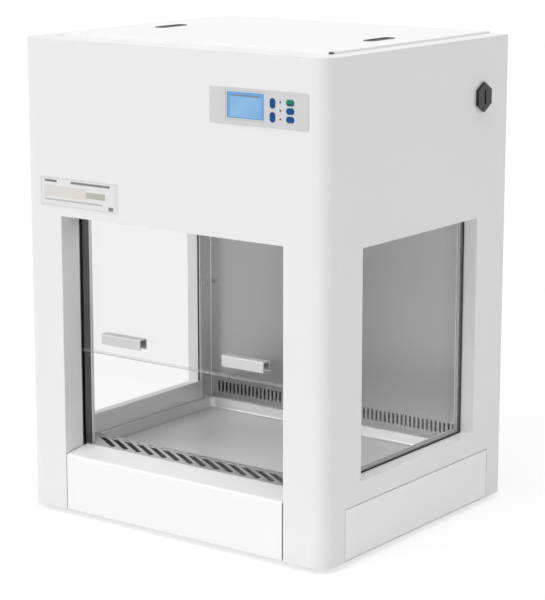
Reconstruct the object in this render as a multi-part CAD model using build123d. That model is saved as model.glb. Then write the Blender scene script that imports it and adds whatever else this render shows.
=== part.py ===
from build123d import *
import os
from math import cos, radians, sin

# Bench-top laminar flow hood. Millimetres, +Z up, +X to the operator's right, the operator
# stands at -Y. The origin is on the bench, under the middle of the cabinet. Every level
# counted "up the body" starts at the body's lower edge, one foot height above the bench.

# Cabinet body
WIDTH = 600.0
DEPTH = 505.0
HEIGHT = 770.0
SKIN = 1.5  # painted steel sheet of the casing
CORNER_R = 28.0  # the two upright folds at the front
EDGE_R = 1.2  # rolled edge round the openings in the casing
FLANGE = 18.0  # inward folds along the casing's bottom and rear edges
PAN_LAP = 6.0  # of the base sheet over those folds
SEAT = 0.3  # gap between pieces that drop into each other

# Feet
FOOT_H = 8.0
FOOT_R = 19.0
FOOT_INSET_X = 45.0  # from the casing's sides
FOOT_INSET_Y = 40.0  # from its front and rear
FOOT_SCREW_R = 3.0

# Access opening in the front, its plinth and its sloping sill
PIER_W = 80.0  # casing left at each side of the opening
HEAD_H = 281.0  # casing left above it
JAMB_DEPTH = 42.0
HEADER_DEPTH = 20.0
PLINTH_H = 94.0
PLINTH_GAP = 2.0  # open seam at each end of the plinth cover
SILL_DEPTH = 52.5
SILL_RISE = 7.5
SILL_NOSE_R = 5.0
SILL_LIP = 12.0
PLINTH_RETURN = 62.0

# Service covers low on both sides
BASE_COVER_H = 85.0
BASE_COVER_FRONT = 50.5  # behind the casing's front face
BASE_COVER_REAR = 39.5  # in front of its rear face
SEAM = 1.2

# Work chamber
LINER = 1.2  # stainless sheet
BEND_R = 2.5
SIDE_CAVITY = 33.0  # from the casing's side to the chamber
CHAMBER_FRONT = 65.5  # behind the casing's front face
REAR_DUCT = 62.5  # from the chamber's back wall to the rear face
LINER_LIP = 7.0
BACK_WING = 24.0  # forward folds of the back wall, against the side walls
BAFFLE_FOLD = 10.0
BACK_SLOT_MARGIN = 15.0
BACK_SLOT_PITCH = 8.54
BACK_SLOT_W = 4.0
BACK_SLOT_H = 19.0
BACK_SLOT_Z = 114.0
DUCT_PORTS = 4  # under the tray, into the rear duct
DUCT_PORT_LAND = 28.5  # sheet left between two of them
DUCT_PORT_H = 44.0
DUCT_PORT_Z = 42.0

# Work tray and front grille
TRAY_RIM_Z = 92.5
TRAY_SINK = 17.5
TRAY_RIM_W = 6.0
TRAY_SLOPE = 4.0
TRAY_CORNER_R = 14.0
TRAY_BED_R = 5.0
TRAY_FRONT = 116.5  # behind the casing's front face
LEDGE_H = 20.0
GRILLE_TOP = 98.0
GRILLE_LEFT = 43.0  # solid strip at its left end
GRILLE_RIGHT = 82.0  # and at its right end, where the slots run past the track
GRILLE_PITCH = 27.2
GRILLE_SLOT_L = 80.0
GRILLE_SLOT_W = 8.6
GRILLE_ANGLE = 32.2
GRILLE_SLOT_Y = 90.0  # behind the casing's front face
GRILLE_SKIRT = 9.0

# Side windows
WINDOW_FRONT = 92.5  # behind the casing's front face
WINDOW_REAR = 85.5  # in front of its rear face
WINDOW_LOW = 119.0
WINDOW_HEAD = 8.0  # below the head of the access opening
WINDOW_CORNER_R = 3.0
GLASS = 5.0
GASKET_IN = 1.8  # rubber between the liner and the pane
GASKET_OUT = 1.0  # rubber lip over the pane
GASKET_REACH = 6.0  # outside the opening
GASKET_SHOW = 2.5  # inside the opening
LINER_WINDOW_IN = 7.0  # how much smaller the hole in the liner is

# Sliding sash
SASH_T = 5.0
SASH_SETBACK = 44.5
SASH_ENTRY = 9.5  # into each track
SASH_LAP = 18.0  # of the closed sash behind the head of the opening
SASH_RAISED = 157.5  # above its stops
SASH_PLAY = 0.5
SASH_EDGE = 0.8
TRACK_W = 20.0
TRACK_WALL = 2.2
STOP_H = 10.0
STOP_TOP = 102.0
HANDLE_L = 80.0
HANDLE_H = 17.5
HANDLE_OUT = 17.0
HANDLE_WALL = 2.4
HANDLE_IN = 97.5  # from the jamb to the handle's middle
HANDLE_LOW = 22.0  # above the sash's lower edge
HANDLE_SCREW_X = 26.0
HANDLE_SCREW_R = 2.0
WIPER_T = 3.0
WIPER_H = 14.0

# Control panel
PANEL_W = 182.0
PANEL_H = 55.0
PANEL_SIDE = 33.5  # from the casing's right side
PANEL_DROP = 52.0  # from its top
PANEL_T = 1.2
PANEL_R = 3.0
DISPLAY_IN = 67.0  # from the panel's left edge
DISPLAY_RAISE = 2.0  # above the panel's middle
DISPLAY_W = 73.0
DISPLAY_H = 43.5
DISPLAY_RIM = 3.5
KEY_PROUD = 0.8
KEY_GAP = 0.3
KEY_FLANGE = 1.0
KEY_FLANGE_T = 1.5
KEY_TRAVEL = 0.8
KEY_STOP = 0.3
ARROW_W = 10.0
ARROW_H = 15.0
ARROW_IN = 117.2
ARROW_PITCH = 20.5
ARROW_SINK = 1.2  # of the column's middle below the panel's
ARROW_ROWS = {"key_up": 0.5, "key_down": -0.5}
OVAL_W = 14.5
OVAL_H = 9.2
OVAL_IN = 149.3
OVAL_PITCH = 12.4
OVAL_SINK = 0.7
OVAL_ROWS = {"key_power": 1, "key_light": 0, "key_uv": -1}
LAMP_IN = 131.5
LAMP_R = 1.5
LAMP_PROUD = 0.3
BOARD_GAP = 8.0  # from the casing's inner face to the board
BOARD_T = 1.6
BOARD_MARGIN = 4.0
PILLAR_R = 3.0

# Top cover and its two carrying grips
COVER_SIDE = 33.0  # casing left showing at each side
COVER_FRONT = 57.5  # casing left showing in front
COVER_REAR = 2.0
COVER_RISE = 3.5  # of the lid's folded edges over the casing's top
COVER_R = 1.2
COVER_LAP = 12.0
COVER_LIP = 9.0
RELIEF = 7.0  # front corner notch of the lid and of the casing's top folds
GRIP_SIDE = 92.0  # from the casing's side
GRIP_FRONT = 267.5  # behind its front face
GRIP_L = 72.0
GRIP_W = 21.0
GRIP_RIM = 4.0
GRIP_RIM_T = 1.0
GRIP_WALL = 2.0
GRIP_DEPTH = 27.0

# Filter
SEAT_DROP = 154.0  # below the fan's deck
SEAT_T = 1.5
SEAT_W = 20.0
SEAT_LEG = 13.0
DIFFUSER_ROWS = 2
DIFFUSER_PITCH = 25.0
DIFFUSER_SLOT_W = 9.0
DIFFUSER_LAND = 30.0
FOAM = 4.0
FILTER_H = 69.0
FILTER_WALL = 12.0
FILTER_CLEAR = 3.5  # from the liner to the filter frame
PLEATS = 28
PLEAT_T = 2.0

# Blower, hung under its deck
DECK_DROP = 118.0  # below the cabinet's top
INLET_R = 60.0
INLET_LIP_R = 78.0
INLET_T = 2.0
THROAT_DEPTH = 15.0
FAN_GAP = 2.0
WHEEL_R = 100.0
WHEEL_EYE_R = 63.0
WHEEL_DROP = 60.0
WHEEL_T = 2.0
WHEEL_TIP_H = 34.0
WHEEL_EYE_H = 46.0
BLADES = 7
BLADE_T = 2.2
BLADE_ROOT_R = 50.0
BLADE_SWEEP = 52.0
ROTOR_R = 46.0
ROTOR_H = 34.0
ROTOR_WALL = 4.0
STATOR_R = 39.0
STATOR_H = 20.0
SPINDLE_R = 6.0
SPINDLE_FIT = 0.05
BRACKET_W = 22.0
BRACKET_T = 2.0
BRACKET_REACH = 116.0
BRACKET_DROP = 78.0
BRACKET_FOOT = 16.0

# Intake at the rear, mains inlet and power supply
INTAKE_X = 0.0
INTAKE_DROP = 64.0  # below the cabinet's top
INTAKE_COLUMNS = 3
INTAKE_ROWS = 7
INTAKE_SLOT_L = 84.0
INTAKE_SLOT_W = 5.0
INTAKE_PITCH_X = 96.0
INTAKE_PITCH_Z = 10.0
PREFILTER_T = 12.0
PREFILTER_MARGIN = 8.0
INLET_SIDE = 72.0  # from the casing's left side
INLET_DROP = 70.0
SOCKET_W = 28.0
SOCKET_H = 21.0
SOCKET_DEPTH = 25.0
SOCKET_FLANGE = 6.0
SOCKET_FLANGE_T = 2.5
SOCKET_WALL = 2.0
PIN_W = 2.0
PIN_H = 5.0
PIN_X = 7.0
PIN_Z = 2.0
SUPPLY_SIDE = 110.0  # from the casing's right side
SUPPLY_FRONT = 157.5  # behind its front face
SUPPLY_W = 96.0
SUPPLY_L = 110.0
SUPPLY_H = 38.0

# Lamps under the filter
LIGHT_L = 400.0
LIGHT_W = 24.0
LIGHT_H = 12.0
LIGHT_Y = 92.0  # behind the casing's front face
UV_Y = 30.0  # in front of the chamber's back wall
UV_R = 8.0
UV_L = 288.0
UV_CAP = 14.0
UV_DROP = 22.0
HOLDER_T = 11.0
HOLDER_W = 20.0

# Plugged service port high on the right side
PORT_REAR = 78.5  # in front of the casing's rear face
PORT_DROP = 94.0  # below its top
PORT_R = 16.0
PORT_HEX = 41.0
PORT_HEX_T = 5.0
PORT_WASHER_R = 26.0
PORT_WASHER_T = 1.5
PORT_NUT = 38.0
PORT_NUT_T = 6.0
PORT_CLEAR = 0.4

# Screws
SCREW_HEAD_R = 3.8
SCREW_HEAD_T = 2.0
LINER_SCREWS = 3
LINER_SCREW_LOW = 138.0
LINER_SCREW_HIGH = 32.0  # below the filter's seat
LINER_SCREW_Y = 11.0  # in front of the chamber's back wall
REAR_SCREWS = 4
REAR_SCREW_END = 40.0  # from the panel's corners
REAR_SCREW_IN = 150.0  # from its sides

# Levels and planes that several pieces share
SIDE = WIDTH / 2
FRONT = -DEPTH / 2
REAR = DEPTH / 2
BASE = FOOT_H
TOP = BASE + HEIGHT
PAN_TOP = BASE + 2 * SKIN
ACCESS_TOP = BASE + HEIGHT - HEAD_H
JAMB_X = SIDE - PIER_W
JAMB_END = FRONT + JAMB_DEPTH
SILL_Y = FRONT + SILL_DEPTH
LINER_X = SIDE - SIDE_CAVITY
LINER_Y = FRONT + CHAMBER_FRONT
HEAD_TOP = TOP - COVER_LIP - SEAT  # what ends below the lid's locating fold
BACK_Y = REAR - REAR_DUCT
BAFFLE_Y = LINER_Y + 2 * LINER  # rear face of the baffle behind the raised sash
LEDGE_Z = BASE + TRAY_RIM_Z - LINER
TRAY_Y = FRONT + TRAY_FRONT
PANE_IN = LINER_X + LINER + GASKET_IN
PANE_OUT = PANE_IN + GLASS
RECESS_X = PANE_OUT + GASKET_OUT
WINDOW_SPAN_Y = (FRONT + WINDOW_FRONT, REAR - WINDOW_REAR)
WINDOW_SPAN_Z = (BASE + WINDOW_LOW, ACCESS_TOP - WINDOW_HEAD)
SASH_FRONT = FRONT + SASH_SETBACK
SASH_REAR = SASH_FRONT + SASH_T
SASH_X = JAMB_X + SASH_ENTRY
SASH_LOW = BASE + STOP_TOP + SASH_RAISED
SASH_H = ACCESS_TOP + SASH_LAP - BASE - STOP_TOP
SLOT_X = SASH_X + SASH_PLAY
HANDLE_X = JAMB_X - HANDLE_IN
DECK = TOP - DECK_DROP
FAN_Y = (BAFFLE_Y + BACK_Y) / 2
WHEEL = DECK - WHEEL_DROP
BRACKET = DECK - BRACKET_DROP
FILTER_SEAT = DECK - SEAT_DROP
FILTER_LOW = FILTER_SEAT + SEAT_T + FOAM
HEAD_Z = FILTER_SEAT - SEAT_LEG - LINER - BEND_R  # foot of the baffle, under the filter's seat
PANEL_FACE = FRONT - PANEL_T
PANEL_X = SIDE - PANEL_SIDE - PANEL_W
PANEL_Z = TOP - PANEL_DROP - PANEL_H / 2  # the panel's middle
LID = TOP + COVER_RISE
GRIP_X = SIDE - GRIP_SIDE
GRIP_Y = FRONT + GRIP_FRONT
PORT_Y = REAR - PORT_REAR
PORT_Z = TOP - PORT_DROP
INLET_X = -SIDE + INLET_SIDE
INLET_Z = TOP - INLET_DROP
BOARD_Y = FRONT + SKIN + BOARD_GAP
KEY_FLANGE_Y = FRONT + SKIN + KEY_GAP


def block(x, y, z):
    """A rectangular solid between pairs of limits."""
    spans = [sorted(pair) for pair in (x, y, z)]
    middle = [(low + high) / 2 for low, high in spans]
    return Pos(*middle) * Box(*(high - low for low, high in spans))


def rectangle(x, y):
    """A rectangle between pairs of limits."""
    return Pos(sum(x) / 2, sum(y) / 2) * Rectangle(x[1] - x[0], y[1] - y[0])


def folded(points, radius, thickness, side):
    """Section of a sheet folded along points, with its thickness on one side of them."""
    path = FilletPolyline(*points, radius=radius)
    return make_face(offset(path, thickness, side=side, closed=True))


def along_x(section, start, end):
    """Extrude a section drawn as (y, z)."""
    return Pos(start, 0, 0) * extrude(Plane.YZ * section, end - start)


def along_y(section, start, end):
    """Extrude a section drawn as (x, z)."""
    return Pos(0, start, 0) * extrude(Plane.XZ * section, end - start, dir=(0, 1, 0))


def along_z(section, start, end):
    """Extrude a section drawn as (x, y)."""
    return Pos(0, 0, start) * extrude(section, end - start)


def window(grow=0.0):
    """Outline of a side window as (y, z), grown by a margin."""
    outline = rectangle(WINDOW_SPAN_Y, WINDOW_SPAN_Z)
    outline = fillet(outline.vertices(), WINDOW_CORNER_R)
    return offset(outline, grow, kind=Kind.INTERSECTION) if grow else outline


def spread(low, high, count):
    """Evenly spaced values from low to high."""
    return [low + (high - low) * step / (count - 1) for step in range(count)]


def fitting(room, pitch):
    """How many repeats of a pitch fit in some room."""
    return int(room // pitch)


def both_sides(name, right):
    """A right-hand piece and its mirror image, as two pieces."""
    return {f"{name}_right": right, f"{name}_left": mirror(right, Plane.YZ)}


def pair(right):
    """A right-hand piece and its mirror image, as one set."""
    return Compound([right, mirror(right, Plane.YZ)])


# Casing ----------------------------------------------------------------------------------


def outer_shell():
    """One folded sheet: front, both sides, and inward folds all round."""
    plan = Pos(0, -SKIN / 2) * Rectangle(WIDTH, DEPTH - SKIN)
    plan = fillet(plan.vertices().sort_by(Axis.Y)[:2], CORNER_R)
    shell = along_z(plan, BASE, TOP) - along_z(offset(plan, -SKIN), BASE + SKIN, TOP - SKIN)

    full_x = (-SIDE, SIDE)
    side_open = (-SIDE + FLANGE, SIDE - FLANGE)
    shell -= block(side_open, (REAR - 3 * SKIN, REAR), (BASE + FLANGE, TOP - FLANGE))
    shell -= block(side_open, (FRONT + FLANGE, REAR - FLANGE), (BASE, BASE + SKIN))
    lap_x = SIDE - COVER_SIDE - COVER_LAP
    lap_y = (FRONT + COVER_FRONT + COVER_LAP, REAR - SKIN - COVER_LAP)
    shell -= block((-lap_x, lap_x), lap_y, (TOP - SKIN, TOP))
    shell -= along_z(lid_notches(), TOP - SKIN, TOP)

    access = (-JAMB_X, JAMB_X)
    shell -= block(access, (FRONT, FRONT + FLANGE), (BASE, ACCESS_TOP))
    for x in (-JAMB_X, JAMB_X):
        outward = SKIN if x > 0 else -SKIN
        shell += block((x, x + outward), (FRONT, JAMB_END), (BASE, ACCESS_TOP + SKIN))
    header = (ACCESS_TOP, ACCESS_TOP + SKIN)
    shell += block(access, (FRONT, FRONT + HEADER_DEPTH), header)
    rolled = shell.edges().filter_by_position(Axis.Y, FRONT, FRONT)
    rolled = rolled.filter_by(lambda edge: on_access_rim(edge.center()))
    shell = fillet(rolled, EDGE_R)

    cover_y = (FRONT + BASE_COVER_FRONT, REAR - BASE_COVER_REAR)
    shell -= block(full_x, cover_y, (BASE + SKIN, BASE + BASE_COVER_H)) - block(
        (-SIDE + SKIN, SIDE - SKIN), cover_y, (BASE, TOP)
    )
    for side in (-1, 1):
        shell -= along_x(window(), side * (SIDE - SKIN), side * SIDE)
        recess = along_x(window(SKIN) - window(), side * RECESS_X, side * SIDE)
        shell += recess
    shell -= port_hole(SIDE - SKIN, SIDE)
    shell -= panel_cuts(FRONT, FRONT + SKIN)
    return shell


def on_access_rim(point):
    """True on the front edges of the access opening."""
    beside = abs(abs(point.X) - JAMB_X) < 0.01 and point.Z < ACCESS_TOP
    above = abs(point.Z - BASE - ACCESS_TOP) < 0.01 and abs(point.X) < JAMB_X
    return beside or above


def port_hole(start, end):
    """The round hole of the service port."""
    return along_x(Pos(PORT_Y, PORT_Z) * Circle(PORT_R + PORT_CLEAR), start, end)


def front_plinth_cover():
    """Plinth and sill in one folded sheet, with open ends."""
    points = [
        (FRONT + PLINTH_RETURN, BASE),
        (FRONT, BASE),
        (FRONT, BASE + PLINTH_H),
        (SILL_Y, BASE + PLINTH_H + SILL_RISE),
        (SILL_Y, BASE + PLINTH_H + SILL_RISE - SILL_LIP),
    ]
    section = folded(points, [BEND_R, SILL_NOSE_R, BEND_R], SKIN, Side.LEFT)
    half = JAMB_X - PLINTH_GAP
    return along_x(section, -half, half)


def base_cover():
    """Flush cover in the casing's side, with folds that lie behind its opening's edges."""
    high = BASE + BASE_COVER_H - SEAM
    low = BASE + SKIN
    points = [(SIDE - FLANGE * 2 / 3, low), (SIDE, low), (SIDE, high), (SIDE - FLANGE, high)]
    section = folded(points, BEND_R, SKIN, Side.LEFT)
    return along_y(section, FRONT + BASE_COVER_FRONT + SEAM, REAR - BASE_COVER_REAR - SEAM)


def intake_slots():
    """The louvre holes of the rear intake as (x, z)."""
    grid = GridLocations(INTAKE_PITCH_X, INTAKE_PITCH_Z, INTAKE_COLUMNS, INTAKE_ROWS)
    slot = SlotOverall(INTAKE_SLOT_L, INTAKE_SLOT_W)
    return [Pos(INTAKE_X, TOP - INTAKE_DROP) * place * slot for place in grid]


def rear_screw_places():
    """Where the rear panel is screwed to the casing's folds, as (x, z)."""
    beside = SIDE - FLANGE / 2
    levels = spread(BASE + REAR_SCREW_END, TOP - REAR_SCREW_END, REAR_SCREWS)
    places = [(side * beside, z) for side in (-1, 1) for z in levels]
    inner = SIDE - REAR_SCREW_IN
    return places + [(x, z) for x in (-inner, inner) for z in (BASE + FLANGE / 2, TOP - FLANGE / 2)]


def rear_panel():
    """Flat sheet over the casing's open back."""
    panel = block((-SIDE + SEAT, SIDE - SEAT), (REAR - SKIN, REAR), (BASE + SEAT, TOP - SEAT))
    for slot in intake_slots():
        panel -= along_y(slot, REAR - SKIN, REAR)
    socket = Pos(INLET_X, INLET_Z) * Rectangle(SOCKET_W + 2 * SEAT, SOCKET_H + 2 * SEAT)
    panel -= along_y(socket, REAR - SKIN, REAR)
    return panel


def bottom_pan():
    """Base sheet that lies on the casing's bottom folds and carries the liner."""
    half = SIDE - FLANGE + PAN_LAP
    level = (BASE + SKIN, PAN_TOP)
    pan = block((-half, half), (JAMB_END + SEAT, REAR - FLANGE + PAN_LAP), level)
    for side in (-1, 1):
        ear = (side * (JAMB_X + SKIN + SEAT), side * half)
        pan += block(ear, (FRONT + FLANGE - PAN_LAP, JAMB_END + SEAT), level)
    for x, y in foot_places():
        pan -= along_z(Pos(x, y) * Circle(FOOT_SCREW_R), BASE + SKIN, PAN_TOP)
    return pan


def foot_places():
    """Centres of the four feet."""
    x = SIDE - FOOT_INSET_X
    y = DEPTH / 2 - FOOT_INSET_Y
    return [(-x, -y), (x, -y), (-x, y), (x, y)]


def foot(x, y):
    """Turned rubber foot with a well for its screw."""
    well = FOOT_SCREW_R * 2 + SEAT
    top = BASE + SKIN
    section = Polyline(
        (FOOT_SCREW_R + SEAT, top),
        (FOOT_R * 0.7, top),
        (FOOT_R, BASE * 0.6),
        (FOOT_R - 1.5, 0),
        (well, 0),
        (well, BASE / 2),
        (FOOT_SCREW_R + SEAT, BASE / 2),
        close=True,
    )
    return Pos(x, y, 0) * revolve(Plane.XZ * make_face(section), Axis.Z)


def foot_screws():
    """Four pan-head screws up through the feet into the pan."""
    head = FOOT_SCREW_R * 2
    screws = []
    for x, y in foot_places():
        shank = along_z(Circle(FOOT_SCREW_R), BASE / 2, PAN_TOP + FOOT_SCREW_R)
        screws.append(Pos(x, y) * (shank + along_z(Circle(head), BASE / 4, BASE / 2)))
    return screws


def lid_notches():
    """Square notches in the lid's two front corners and in the casing's top beneath them."""
    x = SIDE - COVER_SIDE - RELIEF / 2
    notch = Pos(x, FRONT + COVER_FRONT + RELIEF / 2) * Rectangle(RELIEF, RELIEF)
    return notch + mirror(notch, Plane.YZ)


def grip_slot(length, width):
    """Stadium outline of a carrying grip, its length front to back."""
    return Pos(GRIP_X, GRIP_Y) * Rot(0, 0, 90) * SlotOverall(length, width)


def top_cover():
    """Lift-off lid, its edges folded down to the casing's top, with a locating fold inside."""
    x = SIDE - COVER_SIDE
    y = (FRONT + COVER_FRONT, REAR - COVER_REAR)
    cover = block((-x, x), y, (TOP, LID))
    cover = fillet(cover.edges().group_by(Axis.Z)[-1], COVER_R)
    cover -= block((-x + SKIN, x - SKIN), (y[0] + SKIN, y[1] - SKIN), (TOP, LID - SKIN))
    cover -= along_z(lid_notches(), TOP, LID)
    inner = x - COVER_LAP - SEAT
    lip_y = (y[0] + COVER_LAP + SEAT, REAR - SKIN - COVER_LAP - SEAT)
    lip_z = (TOP - COVER_LIP, LID - SKIN)
    lip = block((-inner, inner), lip_y, lip_z) - block(
        (-inner + SKIN, inner - SKIN), (lip_y[0] + SKIN, lip_y[1] - SKIN), lip_z
    )
    cover += lip
    hole = along_z(grip_slot(GRIP_L - GRIP_RIM, GRIP_W - GRIP_RIM), LID - SKIN, LID)
    return cover - hole - mirror(hole, Plane.YZ)


def top_grip():
    """Moulded finger cup, dropped through the lid and resting on it by its rim."""
    body = (GRIP_L - GRIP_RIM - 2 * SEAT, GRIP_W - GRIP_RIM - 2 * SEAT)
    rim_top = LID + GRIP_RIM_T
    floor = rim_top - GRIP_DEPTH
    cup = along_z(grip_slot(GRIP_L, GRIP_W), LID, rim_top)
    cup += along_z(grip_slot(*body), floor, LID)
    well = grip_slot(body[0] - 2 * GRIP_WALL, body[1] - 2 * GRIP_WALL)
    return cup - along_z(well, floor + GRIP_WALL, rim_top)


# Chamber lining --------------------------------------------------------------------------


def liner_side():
    """Right side wall, with a front flange and lip that carry the sash track."""
    face = LINER_X + LINER
    points = [
        (JAMB_X, LINER_Y + LINER_LIP),
        (JAMB_X, LINER_Y),
        (face, LINER_Y),
        (face, BACK_Y + LINER),
    ]
    wall = along_z(folded(points, BEND_R, LINER, Side.LEFT), PAN_TOP, TOP - SKIN)
    lip = (LINER_Y + LINER, LINER_Y + LINER_LIP)
    wall -= block((JAMB_X, LINER_X - BEND_R), lip, (HEAD_Z - SEAT, TOP))
    wall -= block((JAMB_X, LINER_X - SEAT), (LINER_Y, LINER_Y + LINER_LIP), (HEAD_TOP, TOP))
    return wall - along_x(window(-LINER_WINDOW_IN), LINER_X, face)


def liner_back():
    """Back wall, with wings on the side walls, a row of air slots and ports under the tray."""
    outer = BACK_Y + LINER
    wing = BACK_Y - BACK_WING + LINER
    points = [(-LINER_X, wing), (-LINER_X, outer), (LINER_X, outer), (LINER_X, wing)]
    wall = along_z(folded(points, BEND_R, LINER, Side.RIGHT), PAN_TOP, DECK)
    slot = Pos(0, BASE + BACK_SLOT_Z) * Rot(0, 0, 90) * SlotOverall(BACK_SLOT_H, BACK_SLOT_W)
    count = fitting(2 * (LINER_X - BACK_SLOT_MARGIN), BACK_SLOT_PITCH)
    slots = Sketch() + [place * slot for place in GridLocations(BACK_SLOT_PITCH, 1, count, 1)]
    wall -= along_y(slots, BACK_Y, outer)
    pitch = 2 * LINER_X / DUCT_PORTS
    port = Pos(0, BASE + DUCT_PORT_Z) * Rectangle(pitch - DUCT_PORT_LAND, DUCT_PORT_H)
    ports = Sketch() + [place * port for place in GridLocations(pitch, 1, DUCT_PORTS, 1)]
    return wall - along_y(ports, BACK_Y, outer)


def plenum_front():
    """Baffle between the raised sash and the filter, with a stiffening fold at its foot."""
    face = BAFFLE_Y - LINER
    points = [(face + BAFFLE_FOLD, HEAD_Z), (face, HEAD_Z), (face, HEAD_TOP)]
    half = LINER_X + LINER - BEND_R
    return along_x(folded(points, BEND_R, LINER, Side.RIGHT), -half, half)


def tray_support():
    """Right-hand angle on the side wall that the tray and the grille rest on."""
    reach = LINER_X - TRAY_RIM_W
    points = [(LINER_X, LEDGE_Z - LEDGE_H), (LINER_X, LEDGE_Z), (reach, LEDGE_Z)]
    section = folded(points, BEND_R - LINER, LINER, Side.LEFT)
    return along_y(section, LINER_Y + LINER_LIP + SEAT, BACK_Y - BACK_WING + LINER - SEAT)


def dish(inset, deepen):
    """The tray's sunk bed as a solid: sloping walls with rounded corners and bed edge."""
    low = BASE + TRAY_RIM_Z - TRAY_SINK - deepen
    high = BASE + TRAY_RIM_Z
    half = LINER_X - LINER - TRAY_RIM_W - inset
    front = TRAY_Y + TRAY_RIM_W + inset
    back = BACK_Y - TRAY_RIM_W - inset
    size = (2 * half, back - front)
    mouth = Pos(0, (front + back) / 2, high) * RectangleRounded(*size, TRAY_CORNER_R - inset)
    bed_size = (size[0] - 2 * TRAY_SLOPE, size[1] - 2 * TRAY_SLOPE)
    bed_r = TRAY_CORNER_R - inset - TRAY_SLOPE
    bed = Pos(0, (front + back) / 2, low) * RectangleRounded(*bed_size, bed_r)
    solid = loft([bed, mouth])
    rim = solid.edges().filter_by_position(Axis.Z, low, low)
    return fillet(rim, TRAY_BED_R + (0 if inset else LINER))


def work_tray():
    """Pressed stainless tray: a flat rim round a sunk bed."""
    half = LINER_X - LINER - SEAT
    top = BASE + TRAY_RIM_Z
    rim = block((-half, half), (TRAY_Y, BACK_Y - SEAT), (top - LINER, top))
    rim = fillet(rim.edges().filter_by(Axis.Z), BEND_R)
    return rim + dish(0, LINER) - dish(LINER, 0)


def front_grille():
    """Lift-out intake grille with slanted slots, skirts at its front and its two ends."""
    top = BASE + GRILLE_TOP
    back = TRAY_Y - SEAT
    narrow = JAMB_X - SEAT * 2
    wide = LINER_X - LINER - SEAT
    shoulder = LINER_Y + LINER_LIP + SEAT
    front = SILL_Y + SEAT
    plan = Pos(0, (front + back) / 2) * Rectangle(2 * narrow, back - front)
    plan += Pos(0, (shoulder + back) / 2) * Rectangle(2 * wide, back - shoulder)
    grille = along_z(plan, top - LINER, top)
    count = fitting(2 * LINER_X - GRILLE_LEFT - GRILLE_RIGHT, GRILLE_PITCH)
    middle = Pos((GRILLE_LEFT - GRILLE_RIGHT) / 2, FRONT + GRILLE_SLOT_Y)
    row = middle * GridLocations(GRILLE_PITCH, 1, count, 1)
    slot = Rot(0, 0, -GRILLE_ANGLE) * SlotOverall(GRILLE_SLOT_L, GRILLE_SLOT_W)
    slots = [place * slot for place in row]
    grille -= along_z(Sketch() + slots, top - LINER, top)
    grille += block((-narrow, narrow), (front, front + LINER), (top - GRILLE_SKIRT, top))
    for side in (-1, 1):
        grille += block((side * (wide - LINER), side * wide), (shoulder, back), (LEDGE_Z, top))
    return grille


def side_glass():
    """Right side pane, held at its edge by the gasket."""
    pane = along_x(window(GASKET_REACH / 2), PANE_IN, PANE_OUT)
    return pane


def side_gasket():
    """Rubber frame round the right side pane, clamped between the liner and the casing."""
    outline = window(GASKET_REACH)
    ring = along_x(outline - window(-GASKET_SHOW), LINER_X + LINER, RECESS_X)
    return ring - along_x(window(GASKET_REACH / 2), PANE_IN, PANE_OUT)


# Sash ------------------------------------------------------------------------------------


def sash_glass():
    """Sliding front pane with polished edges and holes for the handle screws."""
    height = (SASH_LOW, SASH_LOW + SASH_H)
    pane = block((-SASH_X, SASH_X), (SASH_FRONT, SASH_REAR), height)
    pane = chamfer(pane.edges().filter_by(Axis.Y, reverse=True), SASH_EDGE)
    for x, z in handle_screw_places():
        pane -= along_y(Pos(x, z) * Circle(HANDLE_SCREW_R + SEAT), SASH_FRONT, SASH_REAR)
    return pane


def handle_screw_places():
    """Centres of the handle screws as (x, z)."""
    z = SASH_LOW + HANDLE_LOW + HANDLE_H / 2
    centres = (-HANDLE_X, HANDLE_X)
    return [(x + step, z) for x in centres for step in (-HANDLE_SCREW_X, HANDLE_SCREW_X)]


def sash_handle():
    """Right finger pull: an extruded channel, open below, with its back on the glass."""
    low = SASH_LOW + HANDLE_LOW
    high = low + HANDLE_H
    lip = SASH_FRONT - HANDLE_OUT
    points = [(lip, low), (lip, high), (SASH_FRONT, high), (SASH_FRONT, low)]
    section = folded(points, BEND_R, HANDLE_WALL, Side.RIGHT)
    pull = along_x(section, HANDLE_X - HANDLE_L / 2, HANDLE_X + HANDLE_L / 2)
    for x, z in handle_screw_places():
        pull -= along_y(Pos(x, z) * Circle(HANDLE_SCREW_R), SASH_FRONT - HANDLE_WALL, SASH_FRONT)
    return pull


def handle_screws():
    """Four dome-head screws from behind the glass into the handles."""
    screws = []
    for x, z in handle_screw_places():
        shank = along_y(Circle(HANDLE_SCREW_R), SASH_FRONT - HANDLE_WALL, SASH_REAR)
        head = along_y(Circle(HANDLE_SCREW_R * 2), SASH_REAR, SASH_REAR + SCREW_HEAD_T)
        screws.append(Pos(x, 0, z) * (shank + head))
    return Compound(screws)


def track_section():
    """Plan of the right track: a deep slot for the glass and a closed hollow behind it."""
    outer = JAMB_X + TRACK_W
    plan = rectangle((JAMB_X, outer), (JAMB_END, LINER_Y))
    plan -= rectangle((JAMB_X, SLOT_X), (SASH_FRONT - SASH_PLAY, SASH_REAR + SASH_PLAY))
    hollow_y = (SASH_REAR + SASH_PLAY + TRACK_WALL, LINER_Y - TRACK_WALL)
    return plan - rectangle((JAMB_X + TRACK_WALL, outer - TRACK_WALL), hollow_y)


def sash_track():
    """Right track, between the casing's jamb and the liner's flange."""
    return along_z(track_section(), PAN_TOP, HEAD_TOP)


def sash_stop():
    """Rubber block in the foot of the right track, under the closed sash."""
    x = (JAMB_X + SEAT, SLOT_X)
    y = (SASH_FRONT - SASH_PLAY, SASH_REAR + SASH_PLAY)
    return block(x, y, (BASE + STOP_TOP - STOP_H, BASE + STOP_TOP))


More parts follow.
